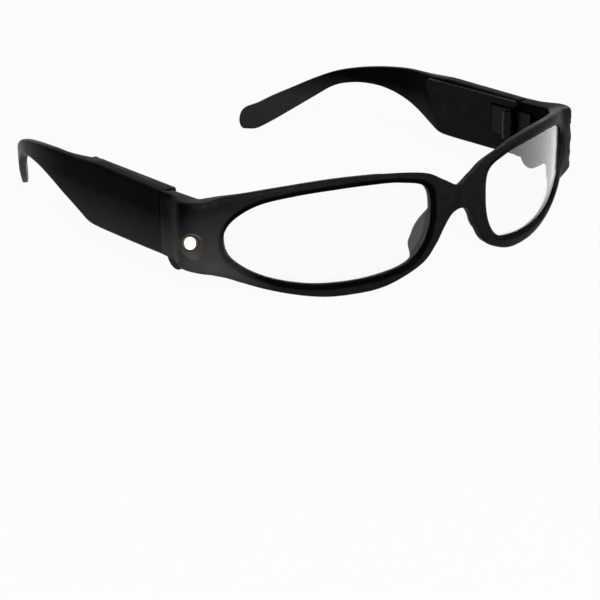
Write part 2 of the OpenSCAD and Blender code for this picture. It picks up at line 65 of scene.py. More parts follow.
# Switch bay, button slot, contacts, battery well and the cover's screw
bay_z, bay_depth, bay_front, bay_back = (11.88, 16.6), 3.4, 11, 1
button_in, button_before_split, slot_half_w, slot_half_l, slot_low = 2.35, 5.2, 1.6, 4.2, 4
contact_z, contact_r, pin_in, slot_h = (14.15, 15.85), 0.5, 2.2, 0.75
well_z, well_r, well_depth, well_behind_split = 20.05, 8.25, 3.8, 21
screw_behind_well, screw_depth, screw_hole_r = 11.6, 3.4, 0.75
# Clearance round what sits in a hole, and how far a cutter stands out of the face it opens
clear_r, over = 0.05, 1

# The lens opening, from its nasal top corner over the top to the ear side and back below.
opening = [(11.9, 27.4), (20.5, 30.3), (30, 31), (39.5, 30.9), (49, 30.2), (58, 28.3),
           (64, 24), (66, 18.6), (64.2, 13), (57, 7.8), (47, 4.7), (37, 3.8), (27, 4.3),
           (17.8, 6.4), (12.7, 11.6), (10.6, 19.2)]
COUNT = len(opening)


def smooth(a, b, x):
    """0 up to a, 1 from b, and a soft step between."""
    t = max(0.0, min(1.0, (x - a) / (b - a)))
    return t * t * (3 - 2 * t)


def mix(a, b, t):
    return a * (1 - t) + b * t


def spline(a, b, c, d, t):
    """The Catmull-Rom curve from b to c."""
    return 0.5 * (2 * b + (c - a) * t + (2 * a - 5 * b + 4 * c - d) * t * t
                  + (3 * b - a - 3 * c + d) * t ** 3)


def arc_s(x):
    """The length along the front's arc at the half width x."""
    return wrap_r * math.asin(x / wrap_r)


turn = math.asin((half_w - corner_r) / (wrap_r - corner_r))
corner_y = wrap_r - (wrap_r - corner_r) * math.cos(turn)
s_corner = wrap_r * turn
s_side = s_corner + corner_r * (math.pi / 2 - turn)
s_end = s_side + side_l
split_y = corner_y + side_l
depth = split_y + temple_l
bow_y = split_y + straight_l
back_shift = (depth + edge_d) / 2
inner_x = half_w - pod_t
bay_x, pin_x, well_x = inner_x + bay_depth, inner_x + pin_in, inner_x + well_depth
bay_y = (split_y - bay_front, split_y - bay_back)
well_y = split_y + well_behind_split

# Where the housing swells out, counted from s_corner, and fades, counted from s_side
SWELL_RISE, SWELL_FALL = (6, 1), (1, 7)
# Where the bridge's depth fades, and how long before s_corner the wall starts to thicken
BRIDGE_FADE, POD_FADE = (2, 14), 12


def heading(s):
    """The direction of the plan at the length s along it."""
    return s / wrap_r if s < s_corner else min(math.pi / 2, turn + (s - s_corner) / corner_r)


def plan(s):
    """The plan of the front's outer face: an arc, a tighter corner, then straight back."""
    h = heading(s)
    if s < s_corner:
        return wrap_r * math.sin(h), wrap_r * (1 - math.cos(h))
    if s < s_side:
        return half_w - corner_r + corner_r * math.sin(h), corner_y - corner_r * math.cos(h)
    return half_w, corner_y + s - s_side


def bow(z):
    """How far the side view of the front lies back at the height z."""
    return bow_r - math.sqrt(bow_r ** 2 - (z - mid_z) ** 2)


def swell(s):
    """How far the lamp's housing stands out at the length s."""
    rise = smooth(s_corner - SWELL_RISE[0], s_corner + SWELL_RISE[1], s)
    return housing * rise * (1 - smooth(s_side - SWELL_FALL[0], s_side + SWELL_FALL[1], s))


def front(s, z, d):
    """A point of the front, from the length s along it, the height z and the depth d."""
    h = heading(s)
    x, y = plan(s)
    e = d - swell(s) * (1 - smooth(0, rim_d, d))
    return Vector((x - e * math.sin(h), y + (e + bow(z)) * math.cos(h), max(z, 0.0)))


def wall(s):
    """The depth of the frame from front to back."""
    return (rim_d + (bridge_d - rim_d) * (1 - smooth(*BRIDGE_FADE, s))
            + (pod_t - rim_d) * smooth(s_corner - POD_FADE, s_corner, s))


def opening_at(u):
    """The opening as a closed curve in (s, z), u counting its points."""
    i = math.floor(u)
    k = [Vector(opening[(i + j) % COUNT]) for j in (-1, 0, 1, 2)]
    p = spline(*k, u - i)
    return Vector((arc_s(p.x), p.y))


def opening_out(u, nudge=0.05):
    """The outward normal of the opening."""
    t = (opening_at(u + nudge) - opening_at(u - nudge)).normalized()
    return Vector((-t.y, t.x))


# ---------------------------------------------------------------- mesh helpers
SHARP_ANGLE = 32
# Points closer than this become one, in metres: within a new form, and after the cuts
JOIN_POINTS, JOIN_SLIVERS = 2e-7, 2.5e-5
# Facets round the turned forms, the lamp bores, the battery wells and the smaller holes
TURNED_STEPS, RECESS_STEPS, WELL_STEPS, HOLE_STEPS = 96, 90, 96, 30
# Points at most this far from x = 0 lie on the seam of the two halves, in mm
ON_SEAM = 1e-6


def to_world(p):
    """From mm in the plan's frame to metres in the shared frame."""
    return Vector((p.x, p.y - back_shift, p.z)) * MM


def add_mesh(name, points, faces, angle=SHARP_ANGLE):
    """A new object from points in mm, shaded smooth but for edges sharper than angle."""
    mesh = bpy.data.meshes.new(name)
    mesh.from_pydata([to_world(p) for p in points], [], faces)
    bm = bmesh.new()
    bm.from_mesh(mesh)
    bmesh.ops.remove_doubles(bm, verts=bm.verts, dist=JOIN_POINTS)
    bmesh.ops.recalc_face_normals(bm, faces=bm.faces)
    bm.to_mesh(mesh)
    bm.free()
    obj = bpy.data.objects.new(name, mesh)
    scene.collection.objects.link(obj)
    shade(obj, angle)
    return obj


def shade(obj, angle=SHARP_ANGLE):
    """Smooth shading, with sharp edges above angle."""
    mesh = obj.data
    mesh.polygons.foreach_set("use_smooth", [True] * len(mesh.polygons))
    mesh.set_sharp_from_angle(angle=math.radians(angle))


def mirrored(points):
    return [Vector((-p.x, p.y, p.z)) for p in points]


def sided(sign, points):
    """Points of the left side as they are, or mirrored for the right side."""
    return points if sign > 0 else mirrored(points)


def apply_modifiers(obj):
    """Makes what the modifiers show the object's own mesh."""
    bpy.context.view_layer.update()
    evaluated = obj.evaluated_get(bpy.context.evaluated_depsgraph_get())
    done = bpy.data.meshes.new_from_object(evaluated)
    obj.modifiers.clear()
    obj.data = done


def cut(obj, cutter):
    """Takes the cutter's form out of an object, and deletes the cutter."""
    m = obj.modifiers.new("cut", "BOOLEAN")
    m.operation = "DIFFERENCE"
    m.solver = "EXACT"
    m.object = cutter
    apply_modifiers(obj)
    bpy.data.objects.remove(cutter)


def close_slivers(obj):
    """Joins points that the cuts left next to each other, so that the mesh stays closed."""
    bm = bmesh.new()
    bm.from_mesh(obj.data)
    bmesh.ops.remove_doubles(bm, verts=bm.verts, dist=JOIN_SLIVERS)
    bm.to_mesh(obj.data)
    bm.free()


def band(rings, loop, closed=True):
    """Quads between rings of as many points each."""
    m = len(rings[0])
    faces = []
    for i in range(len(rings) if loop else len(rings) - 1):
        a, b = i * m, (i + 1) % len(rings) * m
        for k in range(m if closed else m - 1):
            c = (k + 1) % m
            faces.append((a + k, a + c, b + c, b + k))
    return faces


def capped(rings):
    """The faces of a closed form through rings, with a flat face at each end."""
    m, count = len(rings[0]), len(rings) * len(rings[0])
    return band(rings, False) + [tuple(range(m))[::-1], tuple(range(count - m, count))]


def joined(rings):
    return [p for r in rings for p in r]


def revolve(profile, steps):
    """Rings of a turned form about z, from its (radius, height) profile."""
    rings = []
    for i in range(steps):
        a = 2 * math.pi * i / steps
        rings.append([Vector((r * math.cos(a), r * math.sin(a), z)) for r, z in profile])
    return rings


def box_form(sign, x, y, z):
    """A closed box between the given limits."""
    floor_plan = ((x[0], y[0]), (x[1], y[0]), (x[1], y[1]), (x[0], y[1]))
    pts = [Vector((sign * i, j, k)) for k in z for i, j in floor_plan]
    faces = [(3, 2, 1, 0), (4, 5, 6, 7), (0, 1, 5, 4), (1, 2, 6, 5), (2, 3, 7, 6), (3, 0, 4, 7)]
    return add_mesh("box", pts, faces)


def rod(sign, start, end, radius, steps=HOLE_STEPS):
    """A closed cylinder from start to end."""
    a, b = Vector(start), Vector(end)
    turn_to = (b - a).to_track_quat("Z", "Y")
    angles = [2 * math.pi * (i + 0.5) / steps for i in range(steps)]
    rim = [turn_to @ Vector((radius * math.cos(t), radius * math.sin(t), 0)) for t in angles]
    ends = [[p + q for q in rim] for p in (a, b)]
    return add_mesh("rod", sided(sign, joined(ends)), capped(ends))


def inner_rod(sign, y, z, end_x, radius, steps=HOLE_STEPS):
    """A cylinder along x that opens the inner face and ends at end_x."""
    return rod(sign, (inner_x - over, y, z), (end_x, y, z), radius, steps)


# ---------------------------------------------------------------- the front frame
# Samples between two points of an outline, and on each flat end
RUN, FLAT = 9, 16
# Which points of the opening face the flat ends at the temple and at the bridge
END_U, BRIDGE_U = (6.2, 8), (15.2, 15.75)
# The outline of one half in runs of (u, s, z), u saying which point of the opening faces it.
top_run = [(-0.25, 0, bridge_top), (0.3, 5.6, 28.5), (0.7, 11.5, 31.4), (1.4, 21.5, 33.1),
           (2.3, 33, 33.8), (3.4, 44, 33.7), (4.4, arc_s(55.5), 32.5), (5.1, arc_s(66), 30.8),
           (5.45, s_corner, 30.1), (5.75, s_side, 29.6), (END_U[0], s_end, end_top)]
bottom_run = [(END_U[1], s_end, end_bottom), (8.25, s_side, 10.5), (8.5, s_corner, 9.8),
              (8.8, arc_s(66), 8.3), (9.4, arc_s(55.5), 3.8), (10.1, arc_s(45), 0.8),
              (10.7, 37.5, -0.3), (11.3, 31, -0.3), (12.1, 22.5, 1), (13, 12.8, 5.2),
              (13.8, 8.4, 10.2), (14.5, 5.8, 14.6), (14.9, 3.2, 17.9),
              (BRIDGE_U[0], 0, bridge_bottom)]


def run(c, way):
    """Samples of (u, edge, inset) along an outline; inset lies edge_r inside it."""
    c = [Vector(p) for p in c]

    def past(p, q):
        return Vector((2 * p.x - q.x, -q.y, q.z)) if p.y == 0 else 2 * p - q
    pts = []
    for i in range(len(c) - 1):
        a = c[i - 1] if i else past(c[0], c[1])
        d = c[i + 2] if i < len(c) - 2 else past(c[i + 1], c[i])
        pts += [spline(a, c[i], c[i + 1], d, k / RUN) for k in range(RUN)]
    pts.append(c[-1])
    out = []
    for j in range(len(pts) - 1):
        t = Vector((way, 0))
        if j:
            t = Vector((pts[j + 1].y - pts[j - 1].y, pts[j + 1].z - pts[j - 1].z)).normalized()
        edge = Vector((pts[j].y, pts[j].z))
        out.append((pts[j].x, edge, edge + edge_r * Vector((t.y, -t.x))))
    return out


def flat_run(u0, u1, s, z0, z1):
    """Samples along a straight upright end at the length s."""
    e = edge_r if z0 > z1 else -edge_r
    out = []
    for k in range(FLAT):
        t = k / FLAT
        out.append((u0 + (u1 - u0) * t, Vector((s, z0 + (z1 - z0) * t)),
                    Vector((s, z0 - e + (z1 - z0 + 2 * e) * t))))
    return out


samples = (run(top_run, 1) + flat_run(*END_U, s_end, end_top, end_bottom) + run(bottom_run, -1)
           + flat_run(*BRIDGE_U, 0, bridge_bottom, bridge_top))

# Where the nose wing rises and ends, in points of the opening
WING_RISE, WING_FALL = (13, 14), (14.3, 15.6)
# The nose wing's section: how far outside the opening its points lie, and its tip's slant
WING_ROOT, WING_OUTER, WING_INNER, WING_FOOT, WING_SLANT = 3, 2, 0.5, 0.1, 0.3
# Where the further draft over the nose fades, along s, and where it starts above the bridge
NOSE_FADE, NOSE_ABOVE = (16, 28), 2
# The rolled front face: its least drop, then drop and reach at the opening and the outline
ROLL_BASE, ROLL_LIP, ROLL_EDGE = 0.1, (0.38, 1.5), (0.3, 2.4)
# Samples over the front face: near the opening, even in the middle, and near the outline
LIP_ZONE, LIP_SHARE, LIP_STEPS = 1.5, 0.4, (0.25, 0.5, 0.75)
EDGE_ZONE, EDGE_SHARE, EDGE_STEPS = 1.6, 0.45, (0.3, 0.6, 0.85)
MIDDLE = 8
# How much further back the rounding starts at the lip, on the front edge and on the side
LIP_ROUND, FRONT_ROUND, SIDE_ROUND = 0.28, 0.08, 0.2
# Steps of those roundings, and where the back is sampled between lip and outline
LIP_CORNER, EDGE_CORNER = 4, 5
BACK_SHARES = (0.52, 0.38, 0.24)
# Rounding of the back's inner corners, and what the wing adds to it
BACK_SOFT, WING_SOFT = 0.25, 0.75


def wing(u):
    """1 where the nose wing stands, else 0, with soft ends."""
    v = u + COUNT if u < COUNT / 4 else u
    return smooth(*WING_RISE, v) * (1 - smooth(*WING_FALL, v))


def drawn_in(e):
    """How much the outline draws in from front to back."""
    above = smooth(bridge_bottom + NOSE_ABOVE, bridge_top, e.y)
    return draft + nose_draft * (1 - smooth(*NOSE_FADE, e.x)) * above


def lift(p, d):
    """The point (s, z) at the depth d."""
    return Vector((p.x, p.y, d))


def corner(a, c, b, steps):
    """Points of the rounded corner at c, from a to b."""
    return [mix(mix(a, c, i / steps), mix(c, b, i / steps), i / steps) for i in range(steps + 1)]


def softened(path, radius, steps=3, share=0.45):
    """A path with its inner corners rounded, by at most a share of the lines that meet."""
    out = [path[0]]
    for a, c, b in zip(path, path[1:], path[2:]):
        ra = min(radius, share * (a - c).length)
        rb = min(radius, share * (b - c).length)
        out += corner(c + (a - c).normalized() * ra, c, c + (b - c).normalized() * rb, steps)
    return out + [path[-1]]


def rolled(a, b):
    """How far the front face falls back, a from the opening and b from the outline."""
    at_lip = ROLL_LIP[0] * max(0.0, 1 - a / ROLL_LIP[1]) ** 2
    return ROLL_BASE + at_lip + ROLL_EDGE[0] * max(0.0, 1 - b / ROLL_EDGE[1]) ** 2


def across(span):
    """The distances from the lip at which a section samples the front face."""
    first = min(LIP_ZONE, LIP_SHARE * span)
    last = span - min(EDGE_ZONE, EDGE_SHARE * span)
    out = [first * k for k in LIP_STEPS]
    out += [mix(first, last, k / (MIDDLE - 1)) for k in range(MIDDLE)]
    return out + [mix(last, span, k) for k in EDGE_STEPS]


def section(sample):
    """The frame's section at one sample, from the lens groove over the front to the back."""
    u, edge, inset = sample
    p, n = opening_at(u), opening_out(u)
    q = p + lip * n
    w = wing(u)
    drawn = (edge - inset) * drawn_in(edge) / edge_r
    db, de = wall(q.x), wall(edge.x)
    span = (inset - q).length
    drop = rolled(0, span + edge_r)
    out = corner(lift(p, lip + LIP_ROUND), lift(p, drop), lift(q, drop), LIP_CORNER)
    for a in across(span):
        out.append(lift(mix(q, inset, a / span), rolled(a, span - a + edge_r)))
    drop = rolled(span, edge_r)
    out += corner(lift(inset, drop), lift(edge, drop + FRONT_ROUND),
                  lift(edge, edge_r + SIDE_ROUND), EDGE_CORNER)
    out += corner(lift(edge - drawn, de - edge_r), lift(edge - drawn, de),
                  lift(inset - drawn, de), EDGE_CORNER)
    flare = Vector((wing_flare, 0))
    back = [lift(mix(q, inset - drawn, f), mix(db, de, f)) for f in BACK_SHARES]
    path = [lift(inset - drawn, de),
            mix(back[0], lift(p + WING_ROOT * n, db), w),
            mix(back[1], lift(p + WING_OUTER * n + flare, db + wing_l), w),
            mix(back[2], lift(p + WING_INNER * n + flare, db + wing_l - WING_SLANT), w),
            mix(lift(q, db), lift(p + WING_FOOT * n, db), w),
            lift(p, db - lip)]
    out += softened(path, BACK_SOFT + WING_SOFT * w)[1:]
    g = lens_t / 2 + lens_gap
    out += [lift(p, rim_d / 2 + g), lift(p + groove_d * n, rim_d / 2), lift(p, rim_d / 2 - g)]
    return [front(v.x, v.y, v.z) for v in out]


def stud_holes(obj, sign, y):
    """The two holes for the studs of a hinge leaf."""
    for z in (hinge_mid - stud_dz, hinge_mid + stud_dz):
        cut(obj, inner_rod(sign, y, z, inner_x + stud_l + stud_room, stud_r + clear_r))


def button_slot(sign):
    """The opening under the bay that the switch button moves in."""
    cx, cy = inner_x + button_in, split_y - button_before_split
    return box_form(sign, (cx - slot_half_w, cx + slot_half_w),
                    (cy - slot_half_l, cy + slot_half_l), (slot_low, bay_z[0] + over))


def pin_hole(sign, z):
    """A hole for a contact pin, from the bay to the hinge's gap."""
    start, end = (pin_x, bay_y[1] - over, z), (pin_x, split_y + over, z)
    return rod(sign, start, end, contact_r + clear_r)


def build_frame():
    """Both halves in one mesh, joined at x = 0, with the cavities of the endpieces."""
    rings = [section(e) for e in samples]
    pts = joined(rings)
    faces = [f for f in band(rings, True) if not all(abs(pts[i].x) < ON_SEAM for i in f)]
    m = len(pts)
    other_half = [tuple(i + m for i in f[::-1]) for f in faces]
    body = add_mesh("front_body", pts + mirrored(pts), faces + other_half)
    for _, sign in SIDES:
        cut(body, lamp_recess(sign))
        cut(body, box_form(sign, (inner_x - over, bay_x), bay_y, bay_z))
        cut(body, button_slot(sign))
        for z in contact_z:
            cut(body, pin_hole(sign, z))
        stud_holes(body, sign, split_y - front_stud)
    close_slivers(body)
    shade(body)
    mark_lips(body)
    return body


# Points along each opening, their depth, and where the painted shade's attribute starts and ends
# to fade
LIP_POINTS, LIP_DEPTH, LIP_FADE = 640, 0.4, (0.4, 1.2)


def mark_lips(obj):
    """Writes the attribute "lip", the mask of painted shade: 1 at the edge of each opening and 0
    past LIP_FADE.
    """
    turns = [COUNT * k / LIP_POINTS for k in range(LIP_POINTS)]
    tree = KDTree(2 * LIP_POINTS)
    for i, u in enumerate(turns):
        q = opening_at(u) + lip * opening_out(u)
        p = to_world(front(q.x, q.y, LIP_DEPTH))
        tree.insert(p, 2 * i)
        tree.insert((-p.x, p.y, p.z), 2 * i + 1)
    tree.balance()
    values = obj.data.attributes.new("lip", "FLOAT", "POINT").data
    for v in obj.data.vertices:
        values[v.index].value = 1 - smooth(*LIP_FADE, tree.find(v.co)[2] / MM)


# ---------------------------------------------------------------- the lamps
def lamp_matrix(sign):
    """Places a form turned about +z on the lamp's axis, in mm."""
    x, y = plan(s_side - lamp_before_side)
    m = Matrix.Translation((x, y, lamp_z)) @ Matrix.Rotation(math.radians(lamp_turn), 4, "Z")
    m = m @ Matrix.Rotation(math.radians(90), 4, "X")
    m = m @ Matrix.Translation((0, 0, housing - lamp_sink))
    return Matrix.Diagonal((sign, 1, 1, 1)) @ m


def turned(name, profile, sign, steps=TURNED_STEPS):
    """A closed turned form on the lamp's axis."""
    rings = revolve(profile, steps)
    m = lamp_matrix(sign)
    return add_mesh(name, [m @ p for p in joined(rings)], band(rings, True, False))


def lamp_recess(sign):
    """The bore for the ring with the funnel in front of it."""
    r = ring_r + clear_r
    chamfer, chamfer_top = 0.12, 0.03
    funnel, funnel_top, above = 2.3, 3.8, 6
    profile = [(0, -ring_back), (r, -ring_back), (r, ring_front - chamfer),
               (r + chamfer, ring_front + chamfer_top), (r + funnel, funnel_top),
               (r + funnel, above), (0, above)]
    return turned("recess", profile, sign, RECESS_STEPS)


def build_lamp(name, sign):
    """The lamp's body, its foot and its dome."""
    foot, foot_h = 0.3, 0.8
    steps, step = 13, 7.5
    profile = [(0, -lamp_l), (lamp_r + foot, -lamp_l), (lamp_r + foot, -lamp_l + foot_h),
               (lamp_r, -lamp_l + foot_h)]
    for k in range(steps):
        a = math.radians(step * k)
        profile.append((lamp_r * math.cos(a), lamp_front + lamp_r * math.sin(a)))
    return turned(name, profile, sign)


def build_bezel(name, sign):
    """The ring round the lamp, with its funnel."""
    hole, low = lamp_r + clear_r, -ring_back + clear_r
    back_edge, front_edge, face, funnel = 0.06, 0.05, 0.15, 0.5
    profile = [(hole, low), (ring_r - back_edge, low), (ring_r, low + back_edge),
               (ring_r, ring_front - front_edge), (ring_r - front_edge, ring_front),
               (ring_r - face, ring_front), (hole, ring_front - funnel), (hole, low)]
    return turned(name, profile, sign)


# ---------------------------------------------------------------- the lenses
# Middle of the lens in (x, z), points round it, and the angle of an edge that is sharp
LENS_MIDDLE, LENS_POINTS, LENS_ANGLE = (38.5, 18), 240, 20
# Rings over each face, as shares of the way from the middle to the opening
LENS_SHARES = [0.04] + [k / 9 for k in range(1, 9)] + [0.96, 1]
# The bevel: its shoulder as a share of the groove, the room at its tip, and half depths
BEVEL_SHARE, BEVEL_ROOM, SHOULDER_D, TIP_D = 0.55, 0.2, 0.42, 0.06


def build_lens(name, sign):
    """A lens that follows the front's curves, with a bevel round it."""
    middle = Vector((arc_s(LENS_MIDDLE[0]), LENS_MIDDLE[1]))
    mid = rim_d / 2
    turns = [COUNT * k / LENS_POINTS for k in range(LENS_POINTS)]
    outline = [(opening_at(u), opening_out(u)) for u in turns]

    def ring(f, reach, d):
        out = []
        for p, n in outline:
            q = mix(middle, p, f) + reach * n
            out.append(front(q.x, q.y, d))
        return out
    near, far = mid - lens_t / 2, mid + lens_t / 2
    shoulder, tip = BEVEL_SHARE * groove_d, groove_d - BEVEL_ROOM
    rings = [ring(f, 0, near) for f in LENS_SHARES]
    rings += [ring(1, shoulder, mid - SHOULDER_D), ring(1, tip, mid - TIP_D)]
    rings += [ring(1, tip, mid + TIP_D), ring(1, shoulder, mid + SHOULDER_D)]
    rings += [ring(f, 0, far) for f in reversed(LENS_SHARES)]
    lens = add_mesh(name, sided(sign, joined(rings)), capped(rings), LENS_ANGLE)
    paint(lens, clear)
    # The bevel gets a dark opaque material: painted shade standing in for the black groove it
    # sits in.
    lens.data.materials.append(painted_shade_edge)
    first, last = len(LENS_SHARES) - 1, len(rings) - len(LENS_SHARES)
    for polygon in lens.data.polygons[first * LENS_POINTS:last * LENS_POINTS]:
        polygon.material_index = 1
    return lens


# ---------------------------------------------------------------- the temples
front_y = split_y + split_gap
# Side view: stations of (y, top, bottom), the pod's from its front and the arm's from the ear.
stations = [(front_y, end_top, end_bottom), (front_y + 10, 29.5, 10.7),
            (front_y + 22, 29.7, 10.6), (front_y + 32, 29.9, 10.6), (front_y + 36.6, 29.7, 11),
            (front_y + 40.1, 29.5, 12.4), (front_y + 44.2, 29.3, 14.2),
            (front_y + 49.2, 29.2, 16.3), (depth - 62.6, 29.1, 18.7), (depth - 55.5, 28.5, 20.6),
            (depth - 48.4, 27.6, 21.4), (depth - 40.2, 26.1, 21), (depth - 32.1, 23.9, 18.8),
            (depth - 24, 20.3, 13.5), (depth - 16.8, 16.4, 8.3), (depth - 10.7, 13, 3.8),
            (depth - 5.6, 9.8, 0.5)]
tip_end = [(depth - 2.6, 8.4, 0), (depth - 1.1, 7.2, 0), (depth - 0.3, 5.6, 0.9),
           (depth, 4.2, 2.2)]
bow_end = bow_y + arm_bow_r * math.sin(math.radians(bow_max))
ARM_STEPS, TIP_STEPS = 7, 4
# Where the pod thins to the arm, counted from bow_y, and how long the ear end thins
THIN_START, THIN_END, EAR_THIN = 12, 6, 50
# The largest rounding as a share of thickness and height, and the points on each corner
ROUND_T, ROUND_H, ROUND_STEP, ROUND_POINTS = 0.32, 0.35, 15, 7
# How far behind the pod's front the crown reaches its full height, and its steps over a face
CROWN_RISE, CROWN_STEPS = 12, 12


def temple_path():
    """Stations of (y, top, bottom) all along a temple."""
    c = [Vector(p) for p in stations + tip_end]
    out = []
    for i in range(len(c) - 1):
        a, d = c[max(0, i - 1)], c[min(len(c) - 1, i + 2)]
        steps = ARM_STEPS if i < len(stations) - 1 else TIP_STEPS
        out += [spline(a, c[i], c[i + 1], d, k / steps) for k in range(steps)]
    return out + [c[-1]]


def bow_angle(y):
    """How far a temple has turned inwards at y."""
    if y < bow_y:
        return 0.0
    return math.radians(bow_max) if y > bow_end else math.asin((y - bow_y) / arm_bow_r)


def temple_point(y, d, z):
    """A point of the temple, d inside its outer face."""
    h = bow_angle(y)
    straight_on = max(0.0, y - bow_end) * math.tan(math.radians(bow_max))
    inward = arm_bow_r * (1 - math.cos(h)) + straight_on
    return Vector((half_w - inward - d * math.cos(h), y - d * math.sin(h), max(z, 0.0)))


def temple_ring(p):
    """The temple's section at one station, with rounded edges and a crowned outer face."""
    y, top, bottom = p
    t = mix(pod_t, arm_t, smooth(bow_y - THIN_START, bow_y + THIN_END, y))
    t -= (arm_t - tip_t) * smooth(depth - EAR_THIN, depth, y)
    r = min(temple_r, ROUND_T * t, ROUND_H * (top - bottom))
    out = []
    corners = ((180, r, bottom + r), (270, t - r, bottom + r), (0, t - r, top - r),
               (90, r, top - r))
    for start, cd, cz in corners:
        for k in range(ROUND_POINTS):
            a = math.radians(start + ROUND_STEP * k)
            out.append(temple_point(y, cd + r * math.cos(a), cz + r * math.sin(a)))
    crown = pod_crown * smooth(front_y, front_y + CROWN_RISE, y)
    crown *= min(1, ((top - bottom) / (end_top - end_bottom)) ** 2)
    for k in range(CROWN_STEPS - 1, 0, -1):
        f = k / CROWN_STEPS
        out.append(temple_point(y, -4 * f * (1 - f) * crown, mix(bottom + r, top - r, f)))
    return out


def build_temple(name, sign):
    """A temple with its battery well, contact slots and holes, all open to the inner face."""
    rings = [temple_ring(p) for p in temple_path()]
    temple = add_mesh(name, sided(sign, joined(rings)), capped(rings))
    cut(temple, inner_rod(sign, well_y, well_z, well_x, well_r, WELL_STEPS))
    for z in contact_z:
        cut(temple, box_form(sign, (inner_x - over, well_x), (front_y - over, well_y),
                             (z - slot_h, z + slot_h)))
    screw_y = well_y + screw_behind_well
    cut(temple, inner_rod(sign, screw_y, well_z, inner_x + screw_depth, screw_hole_r))
    stud_holes(temple, sign, split_y + 2 * barrel_r + temple_stud)
    shade(temple)
    return temple


# ---------------------------------------------------------------- materials
class Nodes:
    """A short way to write a material's nodes."""

    def __init__(self, name):
        self.material = bpy.data.materials.new(name)
        self.material.use_nodes = True
        self.tree = self.material.node_tree
        self.shader = self.tree.nodes["Principled BSDF"]
        self.place = self.add("ShaderNodeTexCoord").outputs["Object"]

    def add(self, kind, **inputs):
        node = self.tree.nodes.new(kind)
        for key, value in inputs.items():
            self.put(node.inputs[key.replace("_", " ")], value)
        return node

    def put(self, socket, value):
        if isinstance(value, bpy.types.NodeSocket):
            self.tree.links.new(value, socket)
        else:
            socket.default_value = value

    def noise(self, scale, detail=2.0):
        node = self.add("ShaderNodeTexNoise", Vector=self.place, Scale=scale, Detail=detail)
        return node.outputs["Fac"]

    def ranged(self, value, low, high, start=0.3, end=0.7):
        """Maps start to end onto low to high."""
        node = self.add("ShaderNodeMapRange", Value=value, From_Min=start, From_Max=end,
                        To_Min=low, To_Max=high)
        return node.outputs["Result"]

    def ramp(self, value, low, high, start=0.3, end=0.7):
        """A colour between low and high."""
        node = self.add("ShaderNodeValToRGB", Fac=value)
        for stop, at, colour in zip(node.color_ramp.elements, (start, end), (low, high)):
            stop.position = at
            stop.color = (*colour, 1)
        return node.outputs["Color"]

    def axis(self, name):
        return self.add("ShaderNodeSeparateXYZ", Vector=self.place).outputs[name]

    def attribute(self, name):
        node = self.add("ShaderNodeAttribute")
        node.attribute_name = name
        return node.outputs["Fac"]

    def math(self, operation, a, b=0.0):
        node = self.tree.nodes.new("ShaderNodeMath")
        node.operation = operation
        self.put(node.inputs[0], a)
        self.put(node.inputs[1], b)
        return node.outputs[0]

    def bump(self, height, strength, distance):
        node = self.add("ShaderNodeBump", Height=height, Strength=strength, Distance=distance)
        return node.outputs["Normal"]

    def finish(self, **inputs):
        for key, value in inputs.items():
            self.put(self.shader.inputs[key.replace("_", " ")], value)
        return self.material


# Scales of the noises that vary tone and gloss
TONE_SCALE, GLOSS_SCALE = 320, 260
# How much the noise changes the black plastic's tone, and how much painted shade darkens its
# lips
TONE_SHARE, LIP_PAINTED_SHADE = 0.12, 0.15
# How far the roughness of plastic varies both ways, and the strength and height of its grain
GLOSSIER, DULLER, GRAIN_STRENGTH, GRAIN_HEIGHT = 0.04, 0.05, 0.12, 0.00004


def even_tone(n):
    """The same tone all over, but for the noise."""
    return n.noise(TONE_SCALE, 4)


def plastic(name, low, high, rough, grain, spec, tone=even_tone):
    """Moulded plastic: fine grain, soft changes of gloss and a change of tone."""
    n = Nodes(name)
    height = n.noise(grain, 3)
    gloss = n.ranged(n.noise(GLOSS_SCALE, 3), rough - GLOSSIER, rough + DULLER)
    return n.finish(Base_Color=n.ramp(tone(n), low, high), Roughness=gloss,
                    Normal=n.bump(height, GRAIN_STRENGTH, GRAIN_HEIGHT),
                    Specular_IOR_Level=spec)


def temple_tone(n):
    """Painted light: palest low on the pods and darker towards their top."""
    # painted light, lighter towards the bottom of the pods
    low = n.ranged(n.axis("Z"), 0.72, 0.1, start=0.011, end=0.027)
    return n.math("ADD", low, n.math("MULTIPLY", even_tone(n), TONE_SHARE))


def front_tone(n):
    """Painted light palest low on the endpieces, painted shade dark at the lips, and as the
    temples' painted light at the hinges.
    """
    middle = 0.32
    # painted light: paler towards the bottom of the endpieces, where the lamps sit
    low = n.ranged(n.axis("Z"), 0.66, 0.33, start=0.01, end=0.028)
    outer = n.ranged(n.math("ABSOLUTE", n.axis("X")), 0.0, 1.0, start=0.054, end=0.067)
    offset = n.math("MULTIPLY", n.math("SUBTRACT", low, middle), outer)
    painted_light_tone = n.math("ADD", middle, offset)
    tone = n.math("ADD", n.math("MULTIPLY", even_tone(n), TONE_SHARE), painted_light_tone)
    # painted shade: darker at the lips of the lens openings
    tone = n.math("SUBTRACT", tone, n.math("MULTIPLY", n.attribute("lip"), LIP_PAINTED_SHADE))
    back = n.ranged(n.axis("Y"), 0.0, 1.0, start=-0.055, end=-0.046)
    change = n.math("SUBTRACT", temple_tone(n), tone)
    return n.math("ADD", tone, n.math("MULTIPLY", change, back))


def metal(name, low, high, rough, stretch=(1, 1, 30)):
    """Metal with a grain that is stretched one way."""
    n = Nodes(name)
    along = n.add("ShaderNodeMapping", Vector=n.place, Scale=stretch).outputs["Vector"]
    grain = n.add("ShaderNodeTexNoise", Vector=along, Scale=900, Detail=3).outputs["Fac"]
    return n.finish(Base_Color=n.ramp(grain, low, high), Metallic=1.0,
                    Roughness=n.ranged(grain, rough - 0.06, rough + 0.08),
                    Normal=n.bump(grain, strength=0.08, distance=0.00003))


